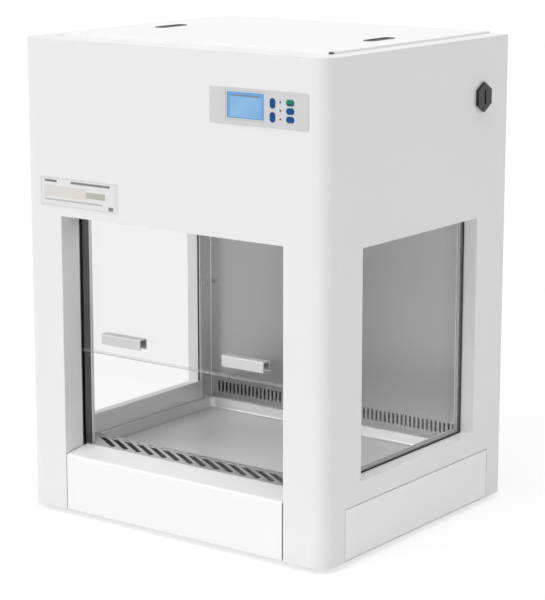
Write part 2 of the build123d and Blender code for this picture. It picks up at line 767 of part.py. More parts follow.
def sash_wiper():
    """Rubber lip on the baffle that closes the gap behind the sash."""
    face = BAFFLE_Y - LINER
    low = HEAD_Z + BEND_R
    tip = SASH_REAR + SEAT
    section = Polyline(
        (face, low),
        (face, low + WIPER_H),
        (face - WIPER_T, low + WIPER_H),
        (face - WIPER_T, low + WIPER_H / 2 + WIPER_T / 2),
        (tip, low + WIPER_T / 2),
        (tip, low - WIPER_T / 2),
        (face - WIPER_T, low + WIPER_H / 2 - WIPER_T / 2),
        (face - WIPER_T, low),
        close=True,
    )
    half = JAMB_X - SEAT
    return along_x(make_face(section), -half, half)


# Control panel ---------------------------------------------------------------------------


def key_places():
    """Each key's name, centre and size."""
    keys = {}
    for name, row in ARROW_ROWS.items():
        z = PANEL_Z - ARROW_SINK + row * ARROW_PITCH
        keys[name] = (PANEL_X + ARROW_IN, z, ARROW_W, ARROW_H)
    for name, row in OVAL_ROWS.items():
        keys[name] = (PANEL_X + OVAL_IN, oval_level(row), OVAL_W, OVAL_H)
    return keys


def oval_level(row):
    """Level of a row of oval keys and of its lamp."""
    return PANEL_Z - OVAL_SINK + row * OVAL_PITCH


def lamp_places():
    """Centres of the indicator lamps as (x, z)."""
    return [(PANEL_X + LAMP_IN, oval_level(row)) for row in OVAL_ROWS.values()]


def display_place():
    """The middle of the display."""
    return Pos(PANEL_X + DISPLAY_IN, PANEL_Z + DISPLAY_RAISE)


def key_outline(x, z, wide, high, grow):
    """A key's rounded outline as (x, z), grown by a margin."""
    size = (wide + 2 * grow, high + 2 * grow)
    return Pos(x, z) * RectangleRounded(*size, min(size) / 2 - 0.2)


def panel_cuts(start, end):
    """Holes for the display, the keys and the indicator lamps."""
    size = (DISPLAY_W + 2 * KEY_GAP, DISPLAY_H + 2 * KEY_GAP)
    cuts = Sketch() + display_place() * Rectangle(*size)
    for place in key_places().values():
        cuts += key_outline(*place, KEY_GAP)
    for place in lamp_places():
        cuts += Pos(*place) * Circle(LAMP_R + KEY_GAP / 2)
    return along_y(cuts, start, end)


def control_overlay():
    """Thin moulded fascia on the casing."""
    outline = Pos(PANEL_X + PANEL_W / 2, PANEL_Z) * RectangleRounded(PANEL_W, PANEL_H, PANEL_R)
    plate = along_y(outline, PANEL_FACE, FRONT)
    return plate - panel_cuts(PANEL_FACE, FRONT)


def display_module():
    """Display whose window fills the fascia's hole and whose body is wider, behind the skin."""
    centre = display_place()
    face = along_y(centre * Rectangle(DISPLAY_W, DISPLAY_H), PANEL_FACE + SEAT, FRONT + SKIN)
    body_size = (DISPLAY_W + 2 * DISPLAY_RIM, DISPLAY_H + 2 * DISPLAY_RIM)
    return face + along_y(centre * Rectangle(*body_size), FRONT + SKIN, BOARD_Y)


def key(place):
    """Key cap with a flange that keeps it behind the skin."""
    cap = along_y(key_outline(*place, 0), PANEL_FACE - KEY_PROUD, KEY_FLANGE_Y)
    front = cap.faces().sort_by(Axis.Y)[0]
    cap = chamfer(front.edges(), KEY_PROUD / 2)
    flange = along_y(key_outline(*place, KEY_FLANGE), KEY_FLANGE_Y, KEY_FLANGE_Y + KEY_FLANGE_T)
    return cap + flange


def indicator_lamps():
    """Three small lamps standing on the board."""
    lamps = [
        along_y(Pos(*place) * Circle(LAMP_R), PANEL_FACE - LAMP_PROUD, BOARD_Y)
        for place in lamp_places()
    ]
    return Compound(lamps)


def control_board():
    """Printed board on its pillars, with a switch behind each key."""
    x = (PANEL_X + BOARD_MARGIN, PANEL_X + PANEL_W - BOARD_MARGIN)
    half = (PANEL_H - BOARD_MARGIN) / 2
    z = (PANEL_Z - half, PANEL_Z + half)
    board = block(x, (BOARD_Y, BOARD_Y + BOARD_T), z) + board_pillars(x, z)
    switch_front = KEY_FLANGE_Y + KEY_FLANGE_T + KEY_TRAVEL + KEY_STOP
    for key_x, key_z, _, _ in key_places().values():
        board += along_y(Pos(key_x, key_z) * Circle(PILLAR_R), switch_front, BOARD_Y)
    return board


def board_pillars(x, z):
    """Four pillars between the casing and the board."""
    edge = PILLAR_R + BOARD_MARGIN / 4
    pillars = [
        along_y(Pos(px, pz) * Circle(PILLAR_R), FRONT + SKIN, BOARD_Y)
        for px in (x[0] + edge, x[1] - edge)
        for pz in (z[0] + edge, z[1] - edge)
    ]
    return pillars


# Filter ----------------------------------------------------------------------------------


def filter_plan(inset):
    """A rounded rectangle inside the lining above the chamber, as (x, y)."""
    half = LINER_X - LINER - SEAT - inset
    span = BACK_Y - BAFFLE_Y - 2 * inset
    return Pos(0, (BAFFLE_Y + BACK_Y) / 2) * RectangleRounded(2 * half, span, BEND_R)


def filter_seat():
    """Welded angle frame on the lining that the filter is clamped to."""
    ring = filter_plan(0) - filter_plan(SEAT_W)
    leg = filter_plan(0) - filter_plan(SEAT_T)
    frame = along_z(ring, FILTER_SEAT, FILTER_SEAT + SEAT_T)
    return frame + along_z(leg, FILTER_SEAT - SEAT_LEG, FILTER_SEAT)


def diffuser_screen():
    """Slotted sheet that spreads the air below the filter."""
    sheet = along_z(filter_plan(SEAT_T + SEAT), FILTER_SEAT - SEAT_T, FILTER_SEAT)
    row_pitch = (BACK_Y - BAFFLE_Y - DIFFUSER_LAND) / DIFFUSER_ROWS
    count = fitting(2 * (LINER_X - DIFFUSER_LAND), DIFFUSER_PITCH)
    grid = GridLocations(DIFFUSER_PITCH, row_pitch, count, DIFFUSER_ROWS)
    slot = Rectangle(DIFFUSER_SLOT_W, row_pitch - DIFFUSER_LAND)
    slots = Sketch() + [place * slot for place in grid]
    return sheet - Pos(0, FAN_Y, 0) * along_z(slots, FILTER_SEAT - SEAT_T, FILTER_SEAT)


def hepa_gasket():
    """Foam ring between the filter's frame and its seat."""
    ring = filter_plan(FILTER_CLEAR) - filter_plan(FILTER_CLEAR + FILTER_WALL)
    return along_z(ring, FILTER_SEAT + SEAT_T, FILTER_LOW)


def hepa_frame():
    """The filter's box frame."""
    ring = filter_plan(FILTER_CLEAR) - filter_plan(FILTER_CLEAR + FILTER_WALL)
    return along_z(ring, FILTER_LOW, FILTER_LOW + FILTER_H)


def hepa_media():
    """Pleated pack that fills the filter's frame."""
    inset = FILTER_CLEAR + FILTER_WALL
    half = LINER_X - LINER - SEAT - inset
    pitch = 2 * half / PLEATS
    crest = FILTER_LOW + FILTER_H - FOAM
    trough = FILTER_LOW + FOAM
    zigzag = [
        (-half + pitch * step / 2, crest if step % 2 else trough + PLEAT_T * 2)
        for step in range(2 * PLEATS + 1)
    ]
    lower = [(x, z - PLEAT_T * 2) for x, z in reversed(zigzag)]
    pack = along_y(make_face(Polyline(*zigzag, *lower, close=True)), BAFFLE_Y + inset, BACK_Y - inset)
    return pack & along_z(filter_plan(inset), FILTER_LOW, FILTER_LOW + FILTER_H)


# Blower ----------------------------------------------------------------------------------


def fan_deck():
    """Deck between the fan chamber and the filter plenum, with the fan's hole."""
    deck = block((-LINER_X, LINER_X), (BAFFLE_Y, BACK_Y + LINER), (DECK, DECK + SKIN))
    return deck - along_z(Pos(0, FAN_Y) * Circle(INLET_R + INLET_T + SEAT), DECK, DECK + SKIN)


def turned(points):
    """A solid of revolution about the fan's axis, from an outline given as (radius, z)."""
    return Pos(0, FAN_Y, 0) * revolve(Plane.XZ * make_face(Polyline(*points, close=True)), Axis.Z)


def fan_inlet_ring():
    """Bell mouth on the deck that reaches into the wheel's eye."""
    top = DECK + SKIN
    low = DECK - THROAT_DEPTH
    outer = INLET_R + INLET_T
    bell = [
        (INLET_R, low),
        (outer, low),
        (outer, top),
        (INLET_LIP_R, top),
        (INLET_LIP_R, top + INLET_T),
        (outer + INLET_T, top + INLET_T),
        (INLET_R, top - INLET_T),
    ]
    return turned(bell)


def blade_band(z0):
    """Solid between the wheel's back plate, its front ring and the inlet's throat."""
    eye = (WHEEL_EYE_R, z0 + WHEEL_EYE_H)
    tip = (WHEEL_R, z0 + WHEEL_TIP_H)
    throat = DECK - THROAT_DEPTH - FAN_GAP
    inner = [(WHEEL_EYE_R, throat), (ROTOR_R, throat - FAN_GAP)]
    return turned([(ROTOR_R, z0), (WHEEL_R, z0), tip, eye, *inner])


def fan_impeller():
    """Backward-curved wheel with its outer-rotor motor cup, as one balanced unit."""
    low = WHEEL
    band = low + WHEEL_T
    back = turned([(ROTOR_R - ROTOR_WALL, low), (WHEEL_R, low), (WHEEL_R, band), (ROTOR_R - ROTOR_WALL, band)])
    ring = turned(
        [
            (WHEEL_EYE_R, band + WHEEL_EYE_H),
            (WHEEL_R, band + WHEEL_TIP_H),
            (WHEEL_R, band + WHEEL_TIP_H + WHEEL_T),
            (WHEEL_EYE_R + WHEEL_T, band + WHEEL_EYE_H + WHEEL_T),
            (WHEEL_EYE_R, band + WHEEL_EYE_H + WHEEL_T),
        ]
    )
    root = (BLADE_ROOT_R, 0)
    sweep = radians(-BLADE_SWEEP)
    tip = (WHEEL_R * cos(sweep), WHEEL_R * sin(sweep))
    curve = TangentArc(root, tip, tangent=(cos(sweep / 2), sin(sweep / 2) * 0.2))
    blade = along_z(trace(curve, BLADE_T), band - WHEEL_T / 2, band + WHEEL_EYE_H + WHEEL_T / 2)
    blades = [Pos(0, FAN_Y, 0) * Rot(0, 0, 360 / BLADES * turn) * blade for turn in range(BLADES)]
    wheel = back + ring + [item & blade_band(band) for item in blades]

    cup_top = low + ROTOR_H
    bore = SPINDLE_R + SPINDLE_FIT
    cup = turned(
        [
            (ROTOR_R - ROTOR_WALL, low),
            (ROTOR_R, low),
            (ROTOR_R, cup_top),
            (bore, cup_top),
            (bore, cup_top - ROTOR_WALL * 2),
            (bore + ROTOR_WALL, cup_top - ROTOR_WALL * 2),
            (bore + ROTOR_WALL, cup_top - ROTOR_WALL),
            (ROTOR_R - ROTOR_WALL, cup_top - ROTOR_WALL),
        ]
    )
    return wheel + cup


def fan_stator():
    """Motor base, winding pack and spindle, standing on the bracket."""
    low = BRACKET
    pack = WHEEL + WHEEL_T
    return turned(
        [
            (0, low),
            (STATOR_R * 0.8, low),
            (STATOR_R * 0.8, pack),
            (STATOR_R, pack),
            (STATOR_R, pack + STATOR_H),
            (SPINDLE_R, pack + STATOR_H),
            (SPINDLE_R, WHEEL + ROTOR_H - SEAT),
            (0, WHEEL + ROTOR_H - SEAT),
        ]
    )


def fan_bracket():
    """Crossed straps hung from the deck, with the motor at their middle."""
    low = BRACKET
    foot = BRACKET_REACH + BRACKET_FOOT
    points = [
        (-foot, DECK),
        (-BRACKET_REACH, DECK),
        (-BRACKET_REACH, low),
        (BRACKET_REACH, low),
        (BRACKET_REACH, DECK),
        (foot, DECK),
    ]
    section = folded(points, BEND_R, BRACKET_T, Side.RIGHT)
    strap = along_y(section, -BRACKET_W / 2, BRACKET_W / 2)
    return Pos(0, FAN_Y, 0) * (strap + Rot(0, 0, 90) * strap)


# Services --------------------------------------------------------------------------------


def prefilter():
    """Coarse foam pad behind the intake slots."""
    wide = (INTAKE_COLUMNS - 1) * INTAKE_PITCH_X + INTAKE_SLOT_L + 2 * PREFILTER_MARGIN
    high = (INTAKE_ROWS - 1) * INTAKE_PITCH_Z + INTAKE_SLOT_W + 2 * PREFILTER_MARGIN
    pad = Pos(INTAKE_X, TOP - INTAKE_DROP) * Rectangle(wide, high)
    return along_y(pad, REAR - SKIN - PREFILTER_T, REAR - SKIN)


def power_inlet():
    """Mains socket in the rear panel, with three blade recesses."""
    centre = Pos(INLET_X, INLET_Z)
    face = REAR + SOCKET_FLANGE_T
    body = along_y(centre * Rectangle(SOCKET_W, SOCKET_H), REAR - SOCKET_DEPTH, REAR)
    rim = (SOCKET_W + 2 * SOCKET_FLANGE, SOCKET_H + 2 * SOCKET_FLANGE)
    body += along_y(centre * RectangleRounded(*rim, SOCKET_FLANGE / 2), REAR, face)
    well = centre * Rectangle(SOCKET_W - 2 * SOCKET_WALL, SOCKET_H - 2 * SOCKET_WALL)
    blade = Rectangle(PIN_W, PIN_H)
    pins = [centre * Pos(*place) * blade for place in ((-PIN_X, -PIN_Z), (PIN_X, -PIN_Z), (0, PIN_Z))]
    socket = body - along_y(well, face - SOCKET_DEPTH * 2 / 3, face)
    return socket + along_y(Sketch() + pins, face - SOCKET_DEPTH * 2 / 3, face - SOCKET_FLANGE)


def power_supply():
    """Closed supply box on the deck."""
    plan = Pos(SIDE - SUPPLY_SIDE, FRONT + SUPPLY_FRONT) * RectangleRounded(SUPPLY_W, SUPPLY_L, BEND_R)
    return along_z(plan, DECK + SKIN, DECK + SKIN + SUPPLY_H)


def work_light():
    """Lamp strip under the screen: a base with a domed lens."""
    top = FILTER_SEAT - SEAT_T
    y = FRONT + LIGHT_Y
    section = rectangle((y - LIGHT_W / 2, y + LIGHT_W / 2), (top - LIGHT_H, top))
    section = fillet(section.vertices().sort_by(Axis.Y)[:2], LIGHT_H / 2 - SEAT)
    return along_x(section, -LIGHT_L / 2, LIGHT_L / 2)


def uv_axis():
    """Where the tube's axis lies, as (y, z)."""
    return BACK_Y - UV_Y, FILTER_SEAT - SEAT_T - UV_DROP


def uv_lamp():
    """Germicidal tube with a metal cap at each end."""
    y, z = uv_axis()
    half = UV_L / 2
    tube = along_x(Pos(y, z) * Circle(UV_R), -half + UV_CAP, half - UV_CAP)
    for side in (-1, 1):
        ends = sorted((side * half, side * (half - UV_CAP)))
        tube += along_x(Pos(y, z) * Circle(UV_R + SEAT), *ends)
    return tube


def lamp_holder():
    """Right-hand tube holder: an arched block on the screen."""
    y, z = uv_axis()
    arch = Pos(y, z) * Circle(HOLDER_W / 2)
    arch += rectangle((y - HOLDER_W / 2, y + HOLDER_W / 2), (z, FILTER_SEAT - SEAT_T))
    return along_x(arch, UV_L / 2, UV_L / 2 + HOLDER_T)


def side_port_plug():
    """Hexagonal screw plug with a driver slot across its face."""
    face = SIDE + PORT_WASHER_T + PORT_HEX_T
    centre = Pos(PORT_Y, PORT_Z)
    hexagon = RegularPolygon(PORT_HEX / 2, 6, major_radius=False, rotation=0)
    head = along_x(centre * Rot(0, 0, 90) * hexagon, SIDE + PORT_WASHER_T, face)
    head = chamfer(head.faces().sort_by(Axis.X)[-1].edges(), 1.0)
    shank = along_x(centre * Circle(PORT_R), SIDE - SKIN - PORT_NUT_T * 2, SIDE + PORT_WASHER_T)
    driver = along_x(centre * RectangleRounded(4, PORT_R * 1.5, 1.9), face - 2, face)
    return head + shank - driver


def side_port_washer():
    """Pale sealing washer under the plug's head."""
    ring = Circle(PORT_WASHER_R) - Circle(PORT_R + PORT_CLEAR)
    return along_x(Pos(PORT_Y, PORT_Z) * ring, SIDE, SIDE + PORT_WASHER_T)


def side_port_nut():
    """Nut that pulls the plug up from inside."""
    hexagon = RegularPolygon(PORT_NUT / 2, 6, major_radius=False) - Circle(PORT_R + SEAT / 3)
    return along_x(Pos(PORT_Y, PORT_Z) * hexagon, SIDE - SKIN - PORT_NUT_T, SIDE - SKIN)


def dome_screw():
    """A low-domed screw along +Z, its head standing on the plane z = 0."""
    head = along_z(Circle(SCREW_HEAD_R), 0, SCREW_HEAD_T)
    return chamfer(head.faces().sort_by(Axis.Z)[-1].edges(), SCREW_HEAD_T / 2)


def liner_screws():
    """Heads of the screws that hold the back wall's wings to the side walls."""
    screws = []
    for side in (-1, 1):
        for z in spread(BASE + LINER_SCREW_LOW, FILTER_SEAT - LINER_SCREW_HIGH, LINER_SCREWS):
            place = Pos(side * (LINER_X - LINER), BACK_Y - LINER_SCREW_Y, z)
            screws.append(place * Rot(0, -90 * side, 0) * dome_screw())
    return screws


def rear_screws():
    """Screw heads on the rear panel."""
    return [Pos(x, REAR, z) * Rot(-90, 0, 0) * dome_screw() for x, z in rear_screw_places()]


def build_all():
    """Every piece by name."""
    pieces = {
        "outer_shell": outer_shell(),
        "front_plinth_cover": front_plinth_cover(),
        "rear_panel": rear_panel(),
        "top_cover": top_cover(),
        "bottom_pan": bottom_pan(),
        "liner_back": liner_back(),
        "plenum_front": plenum_front(),
        "work_tray": work_tray(),
        "front_grille": front_grille(),
        "tray_supports": pair(tray_support()),
        "side_gaskets": pair(side_gasket()),
        "sash_glass": sash_glass(),
        "handle_screws": handle_screws(),
        "sash_stops": pair(sash_stop()),
        "sash_wiper": sash_wiper(),
        "control_overlay": control_overlay(),
        "display_module": display_module(),
        "indicator_lamps": indicator_lamps(),
        "control_board": control_board(),
        "filter_seat": filter_seat(),
        "diffuser_screen": diffuser_screen(),
        "hepa_gasket": hepa_gasket(),
        "hepa_frame": hepa_frame(),
        "hepa_media": hepa_media(),
        "fan_deck": fan_deck(),
        "fan_inlet_ring": fan_inlet_ring(),
        "fan_impeller": fan_impeller(),
        "fan_stator": fan_stator(),
        "fan_bracket": fan_bracket(),
        "prefilter": prefilter(),
        "power_inlet": power_inlet(),
        "power_supply": power_supply(),
        "work_light": work_light(),
        "lamp_holders": pair(lamp_holder()),
        "uv_lamp": uv_lamp(),
        "side_port_plug": side_port_plug(),
        "side_port_washer": side_port_washer(),
        "side_port_nut": side_port_nut(),
        "casing_screws": Compound(foot_screws() + liner_screws() + rear_screws()),
    }
    pieces |= both_sides("base_cover", base_cover())
    pieces |= both_sides("top_grip", top_grip())
    pieces |= both_sides("liner", liner_side())
    pieces |= both_sides("side_glass", side_glass())
    pieces |= both_sides("sash_handle", sash_handle())
    pieces |= both_sides("sash_track", sash_track())
    for name, place in key_places().items():
        pieces[name] = key(place)
    corners = ("front_left", "front_right", "rear_left", "rear_right")
    for corner, (x, y) in zip(corners, foot_places()):
        pieces[f"foot_{corner}"] = foot(x, y)
    return pieces


os.makedirs("parts", exist_ok=True)
for name, piece in build_all().items():
    export_step(piece, f"parts/{name}.step")
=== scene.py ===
import math

import bmesh
import bpy
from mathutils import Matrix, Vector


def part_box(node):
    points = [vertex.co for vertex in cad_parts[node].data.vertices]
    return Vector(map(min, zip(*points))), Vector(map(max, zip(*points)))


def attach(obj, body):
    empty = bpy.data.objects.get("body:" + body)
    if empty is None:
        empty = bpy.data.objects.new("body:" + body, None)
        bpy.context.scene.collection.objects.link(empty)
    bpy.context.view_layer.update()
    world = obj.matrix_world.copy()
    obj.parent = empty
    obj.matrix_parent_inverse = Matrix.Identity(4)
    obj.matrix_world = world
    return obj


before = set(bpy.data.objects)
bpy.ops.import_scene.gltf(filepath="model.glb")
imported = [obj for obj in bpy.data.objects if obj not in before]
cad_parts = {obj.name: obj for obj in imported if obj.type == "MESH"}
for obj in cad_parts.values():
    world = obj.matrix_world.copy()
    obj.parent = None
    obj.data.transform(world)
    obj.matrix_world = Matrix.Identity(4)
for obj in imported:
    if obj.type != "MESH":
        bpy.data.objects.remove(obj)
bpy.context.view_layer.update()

# Setting ---------------------------------------------------------------------------------
# The hood stands on a white studio floor that runs out to a white surround. One broad lamp
# stands to the front left, one hangs overhead, and the surround fills the shadows.

AMBIENT = 0.48
LAMPS = {
    "front_lamp": {"strength": 1.0, "aim": (0.36, 0.76, -0.50), "softness": 35},
    "overhead_lamp": {"strength": 1.05, "aim": (-0.16, 0.10, -1.0), "softness": 30},
}
FLOOR_WHITE = 0.92
FLOOR_GLOW = 0.68  # where the eye looks, so that the floor runs out to white
FLOOR_MATT = 0.62  # black mixed into the lit part there
FLOOR_REACH = 9.0
FLOOR_DROP = 0.0002
EYE = (2.040448, -2.729346, 1.075777)
EYE_TURN = 36.602
EYE_DIP = 12.114
EYE_LENS = 127.07


class Wire:
    """A socket in a finish's node tree. Arithmetic on it adds Math nodes."""

    def __init__(self, tree, socket=None):
        self.tree = tree
        self.socket = socket

    def node(self, kind, sockets=None, settings=None, out=0):
        """Add a node, with its sockets' values or links and its settings, and go on from an output."""
        made = self.tree.nodes.new("ShaderNode" + kind)
        for name, value in (settings or {}).items():
            setattr(made, name, value)
        for name, value in (sockets or {}).items():
            if isinstance(value, Wire):
                self.tree.links.new(value.socket, made.inputs[name])
            else:
                made.inputs[name].default_value = value
        return Wire(self.tree, made.outputs[out] if len(made.outputs) else None)

    def maths(self, operation, first, second=0.0):
        """Work out one value from two."""
        return self.node("Math", {0: first, 1: second}, {"operation": operation})

    def mix(self, factor, first, second):
        """Blend two colours."""
        sockets = {0: factor, 6: first, 7: second}
        return self.node("Mix", sockets, {"data_type": "RGBA"}, out=2)

    def __add__(self, other):
        return self.maths("ADD", self, other)

    def __radd__(self, other):
        return self.maths("ADD", other, self)

    def __sub__(self, other):
        return self.maths("SUBTRACT", self, other)

    def __rsub__(self, other):
        return self.maths("SUBTRACT", other, self)

    def __mul__(self, other):
        return self.maths("MULTIPLY", self, other)

    def __rmul__(self, other):
        return self.maths("MULTIPLY", other, self)

    def __truediv__(self, other):
        return self.maths("DIVIDE", self, other)

    def __gt__(self, other):
        return self.maths("GREATER_THAN", self, other)

    def __lt__(self, other):
        return self.maths("LESS_THAN", self, other)


def grey(level):
    """A neutral colour."""
    return (level, level, level, 1.0)


def seen_or_lighting(wire):
    """One where the eye, a gloss or a pane looks, and nought where light is gathered."""
    rays = ("Is Camera Ray", "Is Glossy Ray", "Is Transmission Ray")
    seen = [wire.node("LightPath", out=ray) for ray in rays]
    return wire.maths("MINIMUM", seen[0] + seen[1] + seen[2], 1.0)


surround = bpy.data.worlds.new("white_surround")
surround.use_nodes = True
surround.node_tree.nodes.clear()
sky = Wire(surround.node_tree)
fill = sky.node("Background", {"Color": grey(1.0), "Strength": AMBIENT})
white = sky.node("Background", {"Color": grey(1.0), "Strength": 1.0})
dome = sky.node("MixShader", {0: seen_or_lighting(sky), 1: fill, 2: white})
sky.node("OutputWorld", {"Surface": dome})
bpy.context.scene.world = surround
bpy.context.scene.view_settings.view_transform = "Standard"

floor_material = bpy.data.materials.new("studio_floor")
floor_material.use_nodes = True
floor_material.node_tree.nodes.clear()
ground = Wire(floor_material.node_tree)
matt = ground.node("BsdfDiffuse", {"Color": grey(FLOOR_WHITE)})
lit = ground.node("Emission", {"Color": grey(1.0), "Strength": FLOOR_GLOW})
dimmed = ground.node("MixShader", {0: FLOOR_MATT, 1: matt})
both = ground.node("AddShader", {0: dimmed, 1: lit})
clean = ground.node("MixShader", {0: seen_or_lighting(ground), 1: matt, 2: both})
ground.node("OutputMaterial", {"Surface": clean})

floor_mesh = bpy.data.meshes.new("studio_floor")
corners = [(x, y, -FLOOR_DROP) for x, y in ((-1, -1), (1, -1), (1, 1), (-1, 1))]
spread = [(x * FLOOR_REACH, y * FLOOR_REACH, z) for x, y, z in corners]
floor_mesh.from_pydata(spread, [], [(0, 1, 2, 3)])
floor_mesh.materials.append(floor_material)
floor = bpy.data.objects.new("studio_floor", floor_mesh)
bpy.context.scene.collection.objects.link(floor)

for lamp_name, lamp in LAMPS.items():
    light = bpy.data.lights.new(lamp_name, "SUN")
    light.energy = lamp["strength"]
    light.angle = math.radians(lamp["softness"])
    holder = bpy.data.objects.new(lamp_name, light)
    across, ahead, down = lamp["aim"]
    tilt = math.atan2(math.hypot(across, ahead), -down)
    holder.rotation_euler = (tilt, 0, math.atan2(-across, ahead))
    bpy.context.scene.collection.objects.link(holder)

eye = bpy.data.cameras.new("eye")
eye.lens = EYE_LENS
eye.sensor_width = 36
eye.clip_end = 60
camera = bpy.data.objects.new("eye", eye)
camera.location = EYE
camera.rotation_euler = (math.radians(90 - EYE_DIP), 0, math.radians(EYE_TURN))
bpy.context.scene.collection.objects.link(camera)
bpy.context.scene.camera = camera

# Casing ----------------------------------------------------------------------------------
# Front and sides are one folded steel sheet with a white powder coat. The plinth cover,
# the two service covers and the back panel are sheets of their own in the same coat; the
# plinth cover and the service covers are given lighter copies of it, as painted light. The
# baked powder leaves a faint orange peel and a slightly softer gloss where it is thin.

PEEL = 420.0
PEEL_DEPTH = 0.00005
CLOUDS = 5.0
DUST_HEIGHT = 0.05  # above the floor
DUST = 0.35


def noise(wire, place, scale, detail=3.0):
    """Grey noise over a place."""
    return wire.node("TexNoise", {"Vector": place, "Scale": scale, "Detail": detail})


def where(wire):
    """The place on the piece, in metres, as a vector and as its three parts."""
    place = wire.node("TexCoord", out="Object")
    parts = wire.node("SeparateXYZ", {"Vector": place})
    return place, *[Wire(wire.tree, socket) for socket in parts.socket.node.outputs]


def bump(wire, height, strength, distance):
    """A normal that follows a height."""
    return wire.node("Bump", {"Strength": strength, "Distance": distance, "Height": height})


def finish(name, recipe):
    """Make a material from a recipe, which gives the values or wires of the shader's sockets."""
    material = bpy.data.materials.new(name)
    material.use_nodes = True
    material.node_tree.nodes.clear()
    wire = Wire(material.node_tree)
    shader = wire.node("BsdfPrincipled", recipe(wire))
    wire.node("OutputMaterial", {"Surface": shader})
    return material


def dress(material, *names):
    """Give solids of the frame a finish."""
    for name in names:
        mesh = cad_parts[name].data
        mesh.materials.clear()
        mesh.materials.append(material)


def powder_coat(level):
    """Recipe of a white powder coat of a given lightness."""

    def recipe(wire):
        place, _, _, height = where(wire)
        cloud = noise(wire, place, CLOUDS, 2.0)
        peel = noise(wire, place, PEEL, 2.0)
        near_floor = wire.maths("MAXIMUM", 1 - height / DUST_HEIGHT, 0.0)
        clean_coat = wire.mix(cloud, grey(level - 0.006), grey(level + 0.006))
        dusty = (level * 0.95, level * 0.945, level * 0.935, 1.0)
        return {
            "Base Color": wire.mix(near_floor * DUST, clean_coat, dusty),
            "Roughness": 0.36 + 0.10 * cloud,
            "Coat Weight": 0.15,
            "Coat Roughness": 0.25,
            "Normal": bump(wire, peel, 0.25, PEEL_DEPTH),
        }

    return recipe


casing_coat = finish("casing_powder_coat", powder_coat(0.865))
dress(casing_coat, "outer_shell", "rear_panel")
# Lighter copies of the casing's coat on the plinth cover and service covers: painted light.
dress(finish("plinth_powder_coat_painted_light", powder_coat(0.95)), "front_plinth_cover")
dress(finish("cover_powder_coat_painted_light", powder_coat(0.94)), "base_cover_left", "base_cover_right")

# Lid -------------------------------------------------------------------------------------
# A folded lid lies on the casing's top folds. Two moulded finger cups are pressed through
# it, so that it can be lifted off to reach the fan.

MOULD_TEXTURE = 900.0
MOULD_DEPTH = 0.00003

# The lid gets a lighter copy of the casing's coat, painted light for the light on its top.
dress(finish("lid_powder_coat_painted_light", powder_coat(0.93)), "top_cover")


def moulded(colour, roughness):
    """Recipe of a fine-textured plastic moulding."""

    def recipe(wire):
        place = where(wire)[0]
        speckle = noise(wire, place, MOULD_TEXTURE, 2.0)
        wear = noise(wire, place, 30.0, 3.0)
        darker = tuple(part * 0.90 for part in colour) + (1.0,)
        return {
            "Base Color": wire.mix(wear, darker, (*colour, 1.0)),
            "Roughness": roughness + 0.12 * wear,
            "Normal": bump(wire, speckle, 0.3, MOULD_DEPTH),
        }

    return recipe


dress(finish("grip_plastic", moulded((0.13, 0.13, 0.135), 0.45)), "top_grip_left", "top_grip_right")

# Base ------------------------------------------------------------------------------------
# A zinc-plated base sheet lies on the casing's bottom folds. Four turned rubber feet are
# screwed up into it.


def zinc_plate(wire):
    """Zinc plating with a faint spangle."""
    place = where(wire)[0]
    spangle = wire.node("TexVoronoi", {"Vector": place, "Scale": 90.0}, out="Distance")
    haze = noise(wire, place, 14.0)
    return {
        "Base Color": wire.mix(spangle * 0.9, grey(0.58), grey(0.72)),
        "Metallic": 0.3,
        "Roughness": 0.34 + 0.16 * haze,
        "Normal": bump(wire, spangle, 0.12, 0.0001),
    }


def rubber(level, roughness=0.72):
    """Recipe of black rubber with a dusty bloom."""

    def recipe(wire):
        place = where(wire)[0]
        bloom = noise(wire, place, 45.0)
        grain = noise(wire, place, 1400.0, 2.0)
        return {
            "Base Color": wire.mix(bloom, grey(level * 0.7), grey(level * 1.5)),
            "Roughness": roughness + 0.15 * bloom,
            "Normal": bump(wire, grain, 0.4, 0.00004),
        }

    return recipe


zinc = finish("zinc_plate", zinc_plate)
dress(zinc, "bottom_pan")
foot_rubber = finish("foot_rubber", rubber(0.028))
dress(foot_rubber, "foot_front_left", "foot_front_right", "foot_rear_left", "foot_rear_right")

# Chamber lining --------------------------------------------------------------------------
# Side walls, back wall and front baffle are satin-brushed stainless sheet. The side walls
# get a paler copy of it, painted light, and the back wall and baffle a darker copy, painted
# shade. The grain runs along the length of each sheet: level on the back wall, upright on
# the side walls.

# Default stainless lightness, darkened for the back wall and baffle: painted shade.
STEEL_DARK_PAINTED_SHADE = 0.37
STEEL_PALE_PAINTED_SHADE = 0.40


def facing(wire, axis):
    """How far a face looks along an axis, from minus one to one."""
    normal = wire.node("NewGeometry", out="Normal")
    return wire.node("SeparateXYZ", {"Vector": normal}, out=axis)


def brushed_steel(stretch, dark=STEEL_DARK_PAINTED_SHADE, pale=STEEL_PALE_PAINTED_SHADE, rough=0.26, metallic=1.0, side_painted_light=0.0):
    """Recipe of brushed stainless whose grain is long where the stretch is small.

    The last argument is how far the faces that look sideways are painted paler, as painted light.
    """

    def recipe(wire):
        place = where(wire)[0]
        drawn = wire.node("Mapping", {"Vector": place, "Scale": stretch})
        grain = noise(wire, drawn, 1.0, 4.0)
        smear = noise(wire, place, 7.0, 2.0)
        sheet = wire.mix(grain * 0.7 + smear * 0.3, grey(dark), grey(pale))
        # Faces that look sideways are mixed towards pale grey: painted light.
        sideways = wire.maths("ABSOLUTE", facing(wire, "X"))
        return {
            "Base Color": wire.mix(sideways * side_painted_light, sheet, grey(0.90)),
            "Metallic": metallic,
            "Roughness": rough + 0.04 * grain + 0.08 * smear,
        }

    return recipe


ACROSS = (8.0, 420.0, 420.0)
INWARDS = (420.0, 8.0, 420.0)
UPRIGHT = (420.0, 420.0, 8.0)
